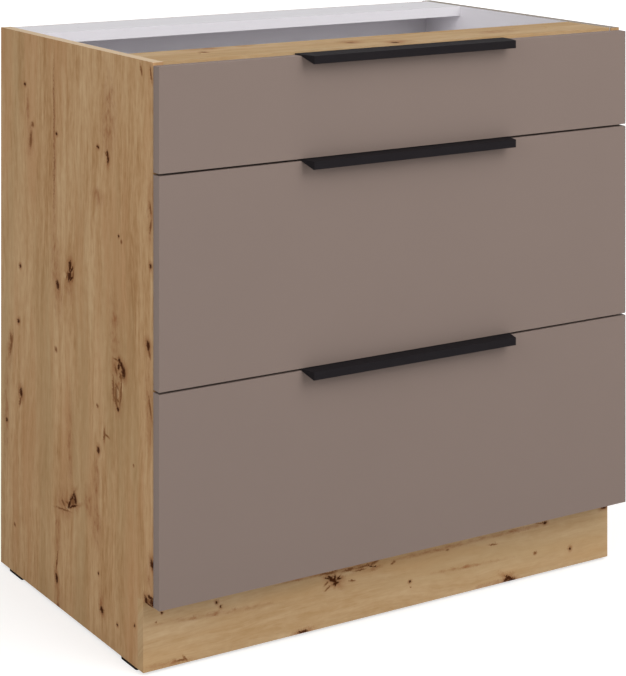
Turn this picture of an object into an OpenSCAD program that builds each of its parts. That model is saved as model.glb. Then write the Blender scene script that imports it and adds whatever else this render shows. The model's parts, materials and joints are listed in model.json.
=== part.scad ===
// Kitchen base cabinet with three drawers on roller runners, without a worktop.
// Millimetres, +Z up, fronts towards -Y. The origin lies on the floor, under the
// middle of the whole cabinet with its handles.

/* [Carcass] */
// Width over the side panels
body_w = 800; // [600:10:1000]
// Height from the floor to the tops of the side panels
body_h = 820; // [780:5:900]
// Depth of the side panels, without the drawer fronts
carcass_d = 500; // [490:5:600]
// Thickness of the carcass boards
board_t = 16; // [15:0.5:19]
// Depth of each top rail, front to back
rail_d = 100; // [90:5:130]
// How far the front rail lies behind the front edges of the side panels
rail_setback = 3.5; // [3.5:0.5:8]
// Height of the toe space, from the floor to the underside of the bottom panel
toe_h = 100; // [90:5:120]
// How far the plinth's face lies behind the front edges of the side panels
plinth_setback = 27; // [20:1:60]
// Thickness of the plinth board
plinth_t = 16; // [15:0.5:19]
// Thickness of the back panel
back_t = 3; // [2.5:0.5:5]
// Distance from the back edges of the side panels to the back panel
back_inset = 9; // [6:1:20]
// Depth of the back panel's grooves in the side panels
groove_depth = 8; // [6:0.5:9]
// Clearance behind the back panel in its grooves
groove_clear = 0.1; // [0.05:0.05:0.3]

/* [Glides] */
// Height of the glides under the side panels
glide_h = 4; // [3:0.5:8]
// Length of a glide, front to back
glide_l = 46; // [40:1:60]
// Width of a glide
glide_w = 15; // [12:0.5:15]
// Distance from the plinth's back to the front glide
glide_front = 5.5; // [2:0.5:20]
// Distance from the rear glide to the back edge of the side panel
glide_rear = 30.5; // [20:0.5:60]
// Distance between a glide's two screws
glide_pitch = 28; // [20:1:32]
// Thickness of a glide under the heads of its screws
glide_web = 1; // [0.8:0.1:1.5]

/* [Fronts] */
// Thickness of the drawer fronts
front_t = 16; // [15:0.5:19]
// Clearance between the fronts and the side panels behind them
front_clear = 0.5; // [0.3:0.1:2]
// Gap between two fronts
front_gap = 3; // [3:0.5:6]
// How far the fronts stop short of the cabinet's sides
side_reveal = 1; // [0.5:0.5:3]
// How far the top front stops short of the cabinet's top
top_reveal = 4; // [3:0.5:8]
// How far the lowest front stops short of the toe space
bottom_reveal = 0.5; // [0:0.5:4]
// Height of the shallow top front
top_front_h = 141; // [136:1:170]

/* [Handles] */
// Length of a handle along its lip
handle_l = 345; // [200:5:600]
// How much longer the handle is at the front's face, at each end
handle_flare = 6.5; // [0:0.5:12]
// How far the lip stands out from the front's face
handle_reach = 22.5; // [18:0.5:35]
// How far the lip hangs below the top edge of the front
handle_drop = 10; // [8:0.5:20]
// Thickness of the handle's top plate and back leg
handle_t = 1.8; // [1.2:0.1:2]
// Thickness of the handle's lip and of the cheeks that close its ends
handle_lip_t = 2; // [1.5:0.1:4]
// Height of the leg behind the front
handle_leg_h = 12; // [11:0.5:20]
// Distance from the ends of the handle's lip to its outer screws
handle_screw_inset = 12.5; // [10:0.5:60]

/* [Drawers] */
// Gap between the rear ends of the steel drawer sides and the back panel
drawer_rear_gap = 38.5; // [20:0.5:80]
// Height of a front's lower edge below its drawer's underside
drawer_rise = 28; // [24:1:40]
// Height of the steel sides of the top drawer
low_side_h = 54; // [50:1:90]
// Height of the steel sides of the deep drawers
deep_side_h = 150; // [110:1:200]
// Thickness of the folded sheet
sheet_t = 1.2; // [1:0.1:1.3]
// Width from a side panel to the inner face of the steel drawer side
slot_w = 13; // [13:0.5:16]
// Width of the flange that carries the drawer's bottom board
base_flange_w = 12; // [11:0.5:20]
// Width of the flanges that hold the front and the rear board
end_flange_w = 15; // [13:0.5:20]
// How far the flange that holds the front stops short of the top of the steel side
front_flange_drop = 6; // [3:0.5:10]
// Height of the folded rim along the top of the drawer side
rim_h = 6; // [4:0.5:8]
// Width of the folded rim
rim_w = 5; // [3:0.5:7]
// Thickness of the drawer's bottom and rear boards
drawer_board_t = 12; // [12:0.5:16]
// Clearance between a drawer's boards and its steel sides
board_clear = 0.5; // [0.3:0.1:1]
// How far the rear board stops short of the top of the steel sides
rear_board_drop = 8; // [7:1:20]

/* [Runners] */
// Diameter of the rollers
roller_d = 20; // [18:0.5:22]
// Width of the rollers
roller_w = 7; // [5:0.5:7]
// Diameter of the roller axles
axle_d = 5; // [4:0.5:6]
// Radial clearance of a roller on its axle
axle_clear = 0.05; // [0.01:0.01:0.1]
// Gap between a roller and its track
track_clear = 0.3; // [0.2:0.1:0.6]
// Gap between a roller and the sheet or the axle head beside it
roller_gap = 0.4; // [0.3:0.1:0.5]
// Diameter of the axle heads
axle_head_d = 8; // [7:0.5:10]
// Thickness of the axle heads
axle_head_t = 1; // [0.8:0.1:1.2]
// Height of the cabinet runner above the drawer's underside
runner_lift = 2.5; // [2:0.5:5]
// Gap between the drawer's running flange and the lip of the cabinet runner above it
lip_clear = 1; // [0.5:0.1:2]
// Width of that lip
lip_w = 6; // [4:0.5:8]
// Sideways gap between each running flange and the sheet that it runs along
flange_clear = 1.3; // [0.8:0.1:1.6]
// How far a cabinet runner lies behind the front edge of the side panel
runner_setback = 2; // [1:0.5:6]
// Distance from the end of a runner or a drawer side to its roller's axle
axle_inset = 15; // [14:0.5:25]
// Distance from a runner's front end to its first screw
runner_screw_front = 60; // [45:5:100]
// Distance from a runner's back end to its last screw
runner_screw_rear = 70; // [40:5:120]
// How far each drawer opens, up to the stop in its runners
travel = 350; // [150:10:350]
// Height of the stop above the track
stop_h = 4; // [3:0.5:6]
// Thickness of the stop
stop_t = 1.5; // [1:0.5:4]

/* [Fixings] */
// Diameter of the screws' shanks and of their pilot holes
screw_d = 3.5; // [3:0.1:4]
// Length of the screws under the head
screw_l = 11; // [10:0.5:12]
// Diameter of the screws' heads
screw_head_d = 7; // [6:0.5:8]
// Height of the screws' heads
screw_head_h = 1.2; // [1:0.1:1.4]
// Space left under the tip of a screw, bolt or dowel in its hole
tip_clear = 0.4; // [0.2:0.1:0.6]
// Height of the lower screws in a drawer side's end flanges above the drawer's underside
flange_screw_rise = 20; // [18:0.5:22]
// How far the upper screws in the end flanges lie below the top of the steel side
flange_screw_drop = 16; // [15:0.5:18]
// Distance from the drawer side's inner face to the screws in its end flanges
flange_screw_reach = 9; // [7:0.5:9]
// Distance from the ends of a drawer side to the screws in its base flange
base_screw_inset = 70; // [40:5:120]
// Distance between the back panel's screws
back_screw_pitch = 300; // [100:10:360]
// Diameter of the dowels
dowel_d = 8; // [6:0.5:8]
// Length of the dowels
dowel_l = 30; // [25:1:35]
// How deep dowels and cam bolts go into the side panels
panel_hole = 10; // [8:0.5:11]
// Diameter of the cam locks
cam_d = 15; // [12:0.5:15]
// Height of the cam locks
cam_h = 12.5; // [11:0.5:13]
// Distance from a board's end to its cam's centre
cam_reach = 24; // [20:1:34]
// Distance from a board's edge to its nearest cam
cam_edge = 35; // [30:1:40]
// Distance from a cam to the dowel beside it
dowel_pitch = 32; // [24:1:35]
// Diameter of the cam bolts' thread
bolt_thread_d = 5; // [4:0.5:6]
// Diameter of the cam bolts' shank
bolt_shank_d = 7; // [6:0.5:7]
// How much wider than its bolt the bore in the board and the cam is
bolt_clear = 0.4; // [0.2:0.1:1]
// Diameter of the holes for the worktop's screws in the rails
worktop_hole_d = 5; // [4:0.5:8]
// Distance between the worktop's screws, side to side
worktop_pitch = 600; // [300:10:620]
// Length of each leg of the plinth's corner brackets
bracket_leg = 22; // [20:1:30]
// Thickness of the plinth's corner brackets
bracket_t = 3; // [2:0.5:4]
// Distance from a corner bracket's middle to the nearer edge of the plinth
bracket_edge = 22; // [16:1:28]
// Distance from the corner to the screw in each leg of a bracket
bracket_screw_reach = 13; // [10:1:16]

/* [Hidden] */

// Colours of the finishes
OAK = "#a5835c";
WHITE = "#e6e4e6";
TAUPE = "#887870";
DARK = "#363434";
STEEL = "#a9adb2";
NYLON = "#f1f1ee";
BEECH = "#cfae7c";

// Curve resolution of the round pieces
FINE = 48;
COARSE = 24;
// A little more than nothing, so that a cut passes its faces
EPS = 0.01;
// How far a through hole's cutter passes both faces
PASS = 1;

// Planes across the depth, front to back
full_d = handle_reach + front_t + front_clear + carcass_d;
lip_y = -full_d / 2;
face_y = lip_y + handle_reach;
front_back_y = face_y + front_t;
carcass_y = front_back_y + front_clear;
rear_y = carcass_y + carcass_d;
back_y = rear_y - back_inset - back_t;
rail_y = carcass_y + rail_setback;
plinth_y = carcass_y + plinth_setback;
plinth_back_y = plinth_y + plinth_t;

// Planes across the width, and the clear half width inside
outer_x = body_w / 2;
inner_x = outer_x - board_t;
front_x = outer_x - side_reveal;

// Heights of the boards
rail_z = body_h - board_t;
bottom_top_z = toe_h + board_t;

// The fronts: lower edge and height of each, from the top
deep_front_h = (body_h - top_reveal - toe_h - bottom_reveal - 2 * front_gap - top_front_h) / 2;
bottom_front_z = toe_h + bottom_reveal;
middle_front_z = bottom_front_z + deep_front_h + front_gap;
top_front_z = middle_front_z + deep_front_h + front_gap;
TOP = [top_front_z, top_front_h, low_side_h];
MIDDLE = [middle_front_z, deep_front_h, deep_side_h];
BOTTOM = [bottom_front_z, deep_front_h, deep_side_h];
DRAWERS = [TOP, MIDDLE, BOTTOM];
function front_z(d) = d[0];
function front_h(d) = d[1];
function side_h(d) = d[2];
function front_top_z(d) = front_z(d) + front_h(d);

// Each drawer's underside, the top of its bottom board and its rollers' axes
function drawer_z(d) = front_z(d) + drawer_rise;
function base_top_z(d) = drawer_z(d) + sheet_t + drawer_board_t;
roller_r = roller_d / 2;
roller_rise = runner_lift + sheet_t + track_clear + roller_r;
function roller_z(d) = drawer_z(d) + roller_rise;

// Drawer and runner lengths
drawer_end_y = back_y - drawer_rear_gap;
drawer_l = drawer_end_y - front_back_y;
rear_board_y = drawer_end_y - sheet_t - drawer_board_t;
runner_y = carcass_y + runner_setback;
runner_end_y = runner_y + drawer_l;
front_axle_y = runner_y + axle_inset;
rear_axle_y = drawer_end_y - axle_inset;
base_x = inner_x - slot_w - board_clear;

// Runner profile: heights from the roller's axis, widths from the side panel
track_top = -roller_r - track_clear;
track_bottom = track_top - sheet_t;
flange_bottom = roller_r + track_clear;
flange_top = flange_bottom + sheet_t;
lip_bottom = flange_top + lip_clear;
lip_top = lip_bottom + sheet_t;
web_out = slot_w - sheet_t;
track_w = web_out - flange_clear;
flange_in = sheet_t + flange_clear;
front_roller_u = sheet_t + roller_gap;
rear_roller_u = web_out - roller_gap - roller_w;

// Where the stop's back face meets a rear roller when the drawer is fully open
stop_reach = sqrt(pow(roller_r, 2) - pow(roller_r + track_clear - stop_h, 2));
stop_y = rear_axle_y - travel - stop_reach - track_clear - stop_t;

// Screw places
runner_screw_ys = [runner_y + runner_screw_front, runner_end_y - runner_screw_rear];
handle_screw_x = handle_l / 2 - handle_screw_inset;
handle_screw_xs = [-handle_screw_x, 0, handle_screw_x];
handle_screw_drop = handle_leg_h / 2;
flange_screw_x = inner_x - slot_w - flange_screw_reach;
function flange_screw_zs(d) = [drawer_z(d) + flange_screw_rise, drawer_z(d) + side_h(d) - flange_screw_drop];
base_screw_x = inner_x - slot_w - base_flange_w / 2;
base_screw_ys = [front_back_y + base_screw_inset, drawer_end_y - base_screw_inset];
back_screw_xs = [-back_screw_pitch, 0, back_screw_pitch];
back_screw_zs = [toe_h + board_t / 2, rail_z + board_t / 2];
glide_ys = [plinth_back_y + glide_front + glide_l / 2, rear_y - glide_rear - glide_l / 2];
glide_screw_offset = glide_pitch / 2;
glide_x = outer_x - board_t / 2;
bracket_zs = [glide_h + bracket_edge, toe_h - bracket_edge];
pilot = screw_l + tip_clear;

// Cams and dowels at the boards' ends, then both as [depth, underside of the board]
rail_back_y = back_y - rail_d;
rail_cam_ys = [rail_y + cam_edge, rail_back_y + cam_edge];
rail_dowel_ys = [for (y = rail_cam_ys) y + dowel_pitch];
bottom_cam_ys = [carcass_y + cam_edge, back_y - cam_edge];
bottom_dowel_ys = [carcass_y + cam_edge + dowel_pitch, back_y - cam_edge - dowel_pitch];
CAM_SPOTS = concat([for (y = rail_cam_ys) [y, rail_z]], [for (y = bottom_cam_ys) [y, toe_h]]);
DOWEL_SPOTS = concat([for (y = rail_dowel_ys) [y, rail_z]], [for (y = bottom_dowel_ys) [y, toe_h]]);
worktop_ys = [rail_y + rail_d / 2, rail_back_y + rail_d / 2];

// A board from its lower front left corner
module board(x, y, z, w, d, h) {
    translate([x, y, z]) cube([w, d, h]);
}

// The same children on the left and mirrored on the right
module both_sides() {
    children();
    mirror([1, 0, 0]) children();
}

// A rod along +X from a point
module rod_x(x, y, z, d, l, fn = COARSE) {
    translate([x, y, z]) rotate([0, 90, 0]) cylinder(d = d, h = l, $fn = fn);
}

// A rod along +Y from a point
module rod_y(x, y, z, d, l, fn = COARSE) {
    translate([x, y, z]) rotate([-90, 0, 0]) cylinder(d = d, h = l, $fn = fn);
}

// A rod along +Z from a point
module rod_z(x, y, z, d, l, fn = COARSE) {
    translate([x, y, z]) cylinder(d = d, h = l, $fn = fn);
}

// A screw whose head sits on z = 0 and whose shank goes down
module screw() {
    cylinder(d = screw_head_d, h = screw_head_h, $fn = COARSE);
    translate([0, 0, -screw_l]) cylinder(d = screw_d, h = screw_l + EPS, $fn = COARSE);
}

// Side panels, rails and the other boards of the carcass

module side_panel() {
    deep = panel_hole + tip_clear;
    difference() {
        board(-outer_x, carcass_y, glide_h, board_t, carcass_d, body_h - glide_h);
        board(-outer_x - PASS, carcass_y - PASS, glide_h - PASS, board_t + 2 * PASS,
              plinth_back_y - carcass_y + PASS, toe_h - glide_h + PASS);
        board(-inner_x - groove_depth, back_y, toe_h, groove_depth + PASS, back_t + groove_clear, body_h);
        for (s = DOWEL_SPOTS)
            rod_x(-inner_x - deep, s[0], s[1] + board_t / 2, dowel_d, deep + PASS);
        for (s = CAM_SPOTS)
            rod_x(-inner_x - deep, s[0], s[1] + board_t / 2, bolt_thread_d, deep + PASS);
        for (d = DRAWERS, y = runner_screw_ys)
            rod_x(-inner_x - pilot + sheet_t, y, roller_z(d), screw_d, pilot);
        for (z = bracket_zs)
            rod_x(-inner_x - pilot + bracket_t, plinth_back_y + bracket_screw_reach, z, screw_d, pilot);
        for (y = glide_ys, s = [-1, 1])
            rod_z(-glide_x, y + s * glide_screw_offset, glide_h - PASS, screw_d, pilot + PASS);
    }
}

module side_left() {
    color(OAK) side_panel();
}

module side_right() {
    color(OAK) mirror([1, 0, 0]) side_panel();
}

// Bores for cams, bolts and dowels at both ends of a board with its underside at z
module end_bores(z, cam_ys, dowel_ys) {
    dowel_hole = dowel_l - panel_hole + tip_clear;
    both_sides() {
        for (y = cam_ys) {
            rod_z(-inner_x + cam_reach, y, z - PASS, cam_d, cam_h + PASS, FINE);
            rod_x(-inner_x - PASS, y, z + board_t / 2, bolt_shank_d + bolt_clear, cam_reach + PASS);
        }
        for (y = dowel_ys) rod_x(-inner_x - PASS, y, z + board_t / 2, dowel_d, dowel_hole + PASS);
    }
}

// Pilot holes for the back panel's screws
module back_screw_holes(z) {
    for (x = back_screw_xs) rod_y(x, back_y + back_t - pilot, z, screw_d, pilot + PASS);
}

module bottom_panel() {
    color(WHITE) difference() {
        board(-inner_x, carcass_y, toe_h, 2 * inner_x, back_y - carcass_y, board_t);
        end_bores(toe_h, bottom_cam_ys, bottom_dowel_ys);
        back_screw_holes(back_screw_zs[0]);
    }
}

// Holes for the worktop's screws through a rail
module worktop_holes(y) {
    both_sides() rod_z(-worktop_pitch / 2, y, rail_z - PASS, worktop_hole_d, board_t + 2 * PASS);
}

module rail_front() {
    color(OAK) difference() {
        board(-inner_x, rail_y, rail_z, 2 * inner_x, rail_d, board_t);
        end_bores(rail_z, rail_cam_ys, rail_dowel_ys);
        worktop_holes(worktop_ys[0]);
    }
}

module rail_back() {
    color(WHITE) difference() {
        board(-inner_x, rail_back_y, rail_z, 2 * inner_x, rail_d, board_t);
        end_bores(rail_z, rail_cam_ys, rail_dowel_ys);
        worktop_holes(worktop_ys[1]);
        back_screw_holes(back_screw_zs[1]);
    }
}

module back_panel() {
    reach = inner_x + groove_depth - 1;
    color(WHITE) difference() {
        board(-reach, back_y, toe_h, 2 * reach, back_t, body_h - toe_h);
        for (x = back_screw_xs, z = back_screw_zs)
            rod_y(x, back_y - PASS, z, screw_d, back_t + 2 * PASS);
    }
}

module plinth_board() {
    color(OAK) difference() {
        board(-outer_x, plinth_y, glide_h, body_w, plinth_t, toe_h - glide_h);
        both_sides() for (z = bracket_zs)
            rod_y(-inner_x + bracket_screw_reach, plinth_back_y + bracket_t - pilot, z, screw_d, pilot);
    }
}

// Fixings of the carcass

module plinth_brackets() {
    color(DARK) both_sides() for (z = bracket_zs) difference() {
        translate([-inner_x, plinth_back_y, z - bracket_leg / 2]) linear_extrude(bracket_leg)
            polygon([[0, 0], [bracket_leg, 0], [bracket_leg, bracket_t], [bracket_t, bracket_t],
                     [bracket_t, bracket_leg], [0, bracket_leg]]);
        rod_x(-inner_x - PASS, plinth_back_y + bracket_screw_reach, z, screw_d, bracket_t + 2 * PASS);
        rod_y(-inner_x + bracket_screw_reach, plinth_back_y - PASS, z, screw_d, bracket_t + 2 * PASS);
    }
}

// A low pad with two stepped holes that take the screw heads
module glide() {
    corner_r = 2;
    head_clear = 1;
    difference() {
        linear_extrude(glide_h) offset(corner_r) offset(-corner_r) square([glide_w, glide_l], center = true);
        for (s = [-1, 1]) translate([0, s * glide_screw_offset, -PASS]) {
            cylinder(d = screw_d, h = glide_h + 2 * PASS, $fn = COARSE);
            cylinder(d = screw_head_d + head_clear, h = glide_h - glide_web + PASS, $fn = COARSE);
        }
    }
}

module glides() {
    color(DARK) both_sides() for (y = glide_ys) translate([-glide_x, y, 0]) glide();
}

module dowels() {
    color(BEECH) both_sides() for (s = DOWEL_SPOTS)
        rod_x(-inner_x - panel_hole, s[0], s[1] + board_t / 2, dowel_d, dowel_l);
}

// A cam with its cross bore for the bolt's end, its foot at the board's underside
module cam_locks() {
    color(STEEL) both_sides() for (s = CAM_SPOTS) difference() {
        rod_z(-inner_x + cam_reach, s[0], s[1], cam_d, cam_h, FINE);
        rod_x(-inner_x + cam_reach - cam_d, s[0], s[1] + board_t / 2, bolt_shank_d + bolt_clear, cam_d);
    }
}

module cam_bolts() {
    color(STEEL) both_sides() for (s = CAM_SPOTS) {
        rod_x(-inner_x - panel_hole, s[0], s[1] + board_t / 2, bolt_thread_d, panel_hole + EPS);
        rod_x(-inner_x, s[0], s[1] + board_t / 2, bolt_shank_d, cam_reach);
    }
}

module panel_screws() {
    color(STEEL) {
        for (x = back_screw_xs, z = back_screw_zs)
            translate([x, back_y + back_t, z]) rotate([-90, 0, 0]) screw();
        both_sides() for (z = bracket_zs) {
            translate([-inner_x + bracket_t, plinth_back_y + bracket_screw_reach, z])
                rotate([0, 90, 0]) screw();
            translate([-inner_x + bracket_screw_reach, plinth_back_y + bracket_t, z])
                rotate([-90, 0, 0]) screw();
        }
        both_sides() for (y = glide_ys, s = [-1, 1])
            translate([-glide_x, y + s * glide_screw_offset, glide_h - glide_web])
                rotate([180, 0, 0]) screw();
    }
}

// Cabinet runners: a folded C profile with the track, and its front axle

module cabinet_runner(d) {
    difference() {
        union() {
            translate([-inner_x, runner_end_y, roller_z(d)]) rotate([90, 0, 0]) linear_extrude(drawer_l)
                polygon([[0, track_bottom], [track_w, track_bottom], [track_w, track_top],
                         [sheet_t, track_top], [sheet_t, lip_bottom], [lip_w, lip_bottom],
                         [lip_w, lip_top], [0, lip_top]]);
            board(-inner_x + sheet_t - EPS, stop_y, roller_z(d) + track_top - EPS,
                  track_w - sheet_t, stop_t, stop_h + EPS);
        }
        rod_x(-inner_x - PASS, front_axle_y, roller_z(d), axle_d, sheet_t + 2 * PASS);
        for (y = runner_screw_ys)
            rod_x(-inner_x - PASS, y, roller_z(d), screw_d, sheet_t + 2 * PASS);
    }
}

module runner_left(d) {
    color(STEEL) cabinet_runner(d);
}

module runner_right(d) {
    color(STEEL) mirror([1, 0, 0]) cabinet_runner(d);
}

module runner_screws() {
    color(STEEL) both_sides() for (d = DRAWERS, y = runner_screw_ys)
        translate([-inner_x + sheet_t, y, roller_z(d)]) rotate([0, 90, 0]) screw();
}

module runner_axles() {
    color(STEEL) both_sides() for (d = DRAWERS) {
        shank = front_roller_u + roller_w + roller_gap;
        rod_x(-inner_x, front_axle_y, roller_z(d), axle_d, shank + EPS);
        rod_x(-inner_x + shank, front_axle_y, roller_z(d), axle_head_d, axle_head_t);
    }
}

// A nylon roller with a shallow dish in both faces, from the side panel's inner face
module roller(d, y, u) {
    dish = 0.6;
    bore_r = axle_d / 2 + axle_clear;
    hub_r = axle_d / 2 + 2;
    tread_r = roller_r - 1.6;
    chamfer_r = roller_r - dish;
    color(NYLON) translate([-inner_x + u, y, roller_z(d)]) rotate([0, 90, 0]) rotate_extrude($fn = FINE)
        polygon([[bore_r, 0], [hub_r, 0], [hub_r + dish, dish], [tread_r - dish, dish], [tread_r, 0],
                 [chamfer_r, 0], [roller_r, dish], [roller_r, roller_w - dish], [chamfer_r, roller_w],
                 [tread_r, roller_w], [tread_r - dish, roller_w - dish], [hub_r + dish, roller_w - dish],
                 [hub_r, roller_w], [bore_r, roller_w]]);
}

module front_roller_left(d) {
    roller(d, front_axle_y, front_roller_u);
}

module front_roller_right(d) {
    mirror([1, 0, 0]) roller(d, front_axle_y, front_roller_u);
}

module rear_roller_left(d) {
    roller(d, rear_axle_y, rear_roller_u);
}

module rear_roller_right(d) {
    mirror([1, 0, 0]) roller(d, rear_axle_y, rear_roller_u);
}

// Drawers

module front(d) {
    color(TAUPE) difference() {
        board(-front_x, face_y, front_z(d), 2 * front_x, front_t, front_h(d));
        for (x = handle_screw_xs)
            rod_y(x, front_back_y + handle_t - pilot, front_top_z(d) - handle_screw_drop, screw_d, pilot);
        both_sides() for (z = flange_screw_zs(d))
            rod_y(-flange_screw_x, front_back_y + sheet_t - pilot, z, screw_d, pilot);
    }
}

// Plan of the handle's outer part, drawn in by inset at its front and ends
module handle_plan(inset) {
    half = handle_l / 2 - inset;
    polygon([[-half, -handle_reach + inset], [half, -handle_reach + inset],
             [half + handle_flare, 0], [-half - handle_flare, 0]]);
}

// The wedge under the plate that the lip and the end cheeks are cut from
module handle_wedge(l) {
    slope_top = 0.5;
    rotate([90, 0, 90]) translate([0, 0, -l / 2]) linear_extrude(l)
        polygon([[0, handle_t], [0, -slope_top], [-handle_reach, -handle_drop], [-handle_reach, handle_t]]);
}

module handle(d) {
    half = handle_l / 2 + handle_flare;
    color(DARK) translate([0, face_y, front_top_z(d)]) difference() {
        union() {
            intersection() {
                translate([0, 0, -handle_drop]) linear_extrude(handle_drop + handle_t) handle_plan(0);
                handle_wedge(2 * half);
            }
            board(-half, -EPS, 0, 2 * half, front_t + handle_t + EPS, handle_t);
            board(-half, front_t, -handle_leg_h, 2 * half, handle_t, handle_leg_h + EPS);
        }
        translate([0, 0, -handle_drop - PASS]) linear_extrude(handle_drop + PASS) {
            handle_plan(handle_lip_t);
            translate([-half + handle_lip_t, -EPS]) square([2 * (half - handle_lip_t), PASS]);
        }
        for (x = handle_screw_xs)
            rod_y(x, front_t - PASS, -handle_screw_drop, screw_d, handle_t + 2 * PASS);
    }
}

// The folded steel side: web, base flange, running flange and rim, with end flanges
module drawer_side(d) {
    low = -roller_rise;
    high = low + side_h(d);
    rear_flange_h = side_h(d) - rear_board_drop;
    difference() {
        union() {
            translate([-inner_x, drawer_end_y, roller_z(d)]) rotate([90, 0, 0]) linear_extrude(drawer_l)
                polygon([[web_out, low], [slot_w + base_flange_w, low],
                         [slot_w + base_flange_w, low + sheet_t], [slot_w, low + sheet_t],
                         [slot_w, high], [slot_w - rim_w, high], [slot_w - rim_w, high - rim_h],
                         [web_out, high - rim_h], [web_out, flange_top], [flange_in, flange_top],
                         [flange_in, flange_bottom], [web_out, flange_bottom]]);
            board(-inner_x + slot_w - EPS, front_back_y, drawer_z(d),
                  end_flange_w + EPS, sheet_t, side_h(d) - front_flange_drop);
            board(-inner_x + slot_w - EPS, drawer_end_y - sheet_t, drawer_z(d),
                  end_flange_w + EPS, sheet_t, rear_flange_h);
        }
        rod_x(-inner_x + web_out - PASS, rear_axle_y, roller_z(d), axle_d, sheet_t + 2 * PASS);
        for (z = flange_screw_zs(d)) {
            rod_y(-flange_screw_x, front_back_y - PASS, z, screw_d, sheet_t + 2 * PASS);
            rod_y(-flange_screw_x, drawer_end_y - sheet_t - PASS, z, screw_d, sheet_t + 2 * PASS);
        }
        for (y = base_screw_ys)
            rod_z(-base_screw_x, y, drawer_z(d) - PASS, screw_d, sheet_t + 2 * PASS);
    }
}

module drawer_side_left(d) {
    color(WHITE) drawer_side(d);
}

module drawer_side_right(d) {
    color(WHITE) mirror([1, 0, 0]) drawer_side(d);
}

module drawer_base(d) {
    y0 = front_back_y + sheet_t;
    color(WHITE) difference() {
        board(-base_x, y0, drawer_z(d) + sheet_t, 2 * base_x, drawer_end_y - sheet_t - y0, drawer_board_t);
        both_sides() for (y = base_screw_ys)
            rod_z(-base_screw_x, y, drawer_z(d), screw_d, pilot);
    }
}

module drawer_rear(d) {
    h = side_h(d) - rear_board_drop - sheet_t - drawer_board_t;
    color(WHITE) difference() {
        board(-base_x, rear_board_y, base_top_z(d), 2 * base_x, drawer_board_t, h);
        both_sides() for (z = flange_screw_zs(d))
            rod_y(-flange_screw_x, drawer_end_y - pilot, z, screw_d, pilot);
    }
}

module drawer_screws(d) {
    color(STEEL) {
        for (x = handle_screw_xs)
            translate([x, front_back_y + handle_t, front_top_z(d) - handle_screw_drop])
                rotate([-90, 0, 0]) screw();
        both_sides() {
            for (z = flange_screw_zs(d), y = [front_back_y + sheet_t, drawer_end_y])
                translate([-flange_screw_x, y, z]) rotate([-90, 0, 0]) screw();
            for (y = base_screw_ys)
                translate([-base_screw_x, y, drawer_z(d)]) rotate([180, 0, 0]) screw();
        }
    }
}

module drawer_axles(d) {
    shank = slot_w - rear_roller_u + roller_gap;
    color(STEEL) both_sides() {
        rod_x(-inner_x + slot_w - shank - EPS, rear_axle_y, roller_z(d), axle_d, shank + EPS);
        rod_x(-inner_x + slot_w - shank - axle_head_t, rear_axle_y, roller_z(d), axle_head_d, axle_head_t);
    }
}

side_left();
side_right();
bottom_panel();
rail_front();
rail_back();
back_panel();
plinth_board();
plinth_brackets();
glides();
dowels();
cam_locks();
cam_bolts();
panel_screws();
runner_screws();
runner_axles();
runner_left(TOP);  // runner_top_left
runner_right(TOP);  // runner_top_right
runner_left(MIDDLE);  // runner_middle_left
runner_right(MIDDLE);  // runner_middle_right
runner_left(BOTTOM);  // runner_bottom_left
runner_right(BOTTOM);  // runner_bottom_right
front(TOP);  // front_top
front(MIDDLE);  // front_middle
front(BOTTOM);  // front_bottom
handle(TOP);  // handle_top
handle(MIDDLE);  // handle_middle
handle(BOTTOM);  // handle_bottom
drawer_side_left(TOP);  // drawer_side_top_left
drawer_side_right(TOP);  // drawer_side_top_right
drawer_side_left(MIDDLE);  // drawer_side_middle_left
drawer_side_right(MIDDLE);  // drawer_side_middle_right
drawer_side_left(BOTTOM);  // drawer_side_bottom_left
drawer_side_right(BOTTOM);  // drawer_side_bottom_right
drawer_base(TOP);  // drawer_base_top
drawer_base(MIDDLE);  // drawer_base_middle
drawer_base(BOTTOM);  // drawer_base_bottom
drawer_rear(TOP);  // drawer_rear_top
drawer_rear(MIDDLE);  // drawer_rear_middle
drawer_rear(BOTTOM);  // drawer_rear_bottom
drawer_screws(TOP);  // drawer_screws_top
drawer_screws(MIDDLE);  // drawer_screws_middle
drawer_screws(BOTTOM);  // drawer_screws_bottom
drawer_axles(TOP);  // drawer_axles_top
drawer_axles(MIDDLE);  // drawer_axles_middle
drawer_axles(BOTTOM);  // drawer_axles_bottom
front_roller_left(TOP);  // roller_top_front_left
front_roller_right(TOP);  // roller_top_front_right
rear_roller_left(TOP);  // roller_top_rear_left
rear_roller_right(TOP);  // roller_top_rear_right
front_roller_left(MIDDLE);  // roller_middle_front_left
front_roller_right(MIDDLE);  // roller_middle_front_right
rear_roller_left(MIDDLE);  // roller_middle_rear_left
rear_roller_right(MIDDLE);  // roller_middle_rear_right
front_roller_left(BOTTOM);  // roller_bottom_front_left
front_roller_right(BOTTOM);  // roller_bottom_front_right
rear_roller_left(BOTTOM);  // roller_bottom_rear_left
rear_roller_right(BOTTOM);  // roller_bottom_rear_right
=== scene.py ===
"""Studio scene of a kitchen base cabinet: knotty oak carcass, matt taupe drawer fronts, dark edge handles."""

import json
import logging
import math
from collections.abc import Callable
from dataclasses import dataclass
from enum import Enum
from typing import Any

import bpy
from mathutils import Matrix, Vector

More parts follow.
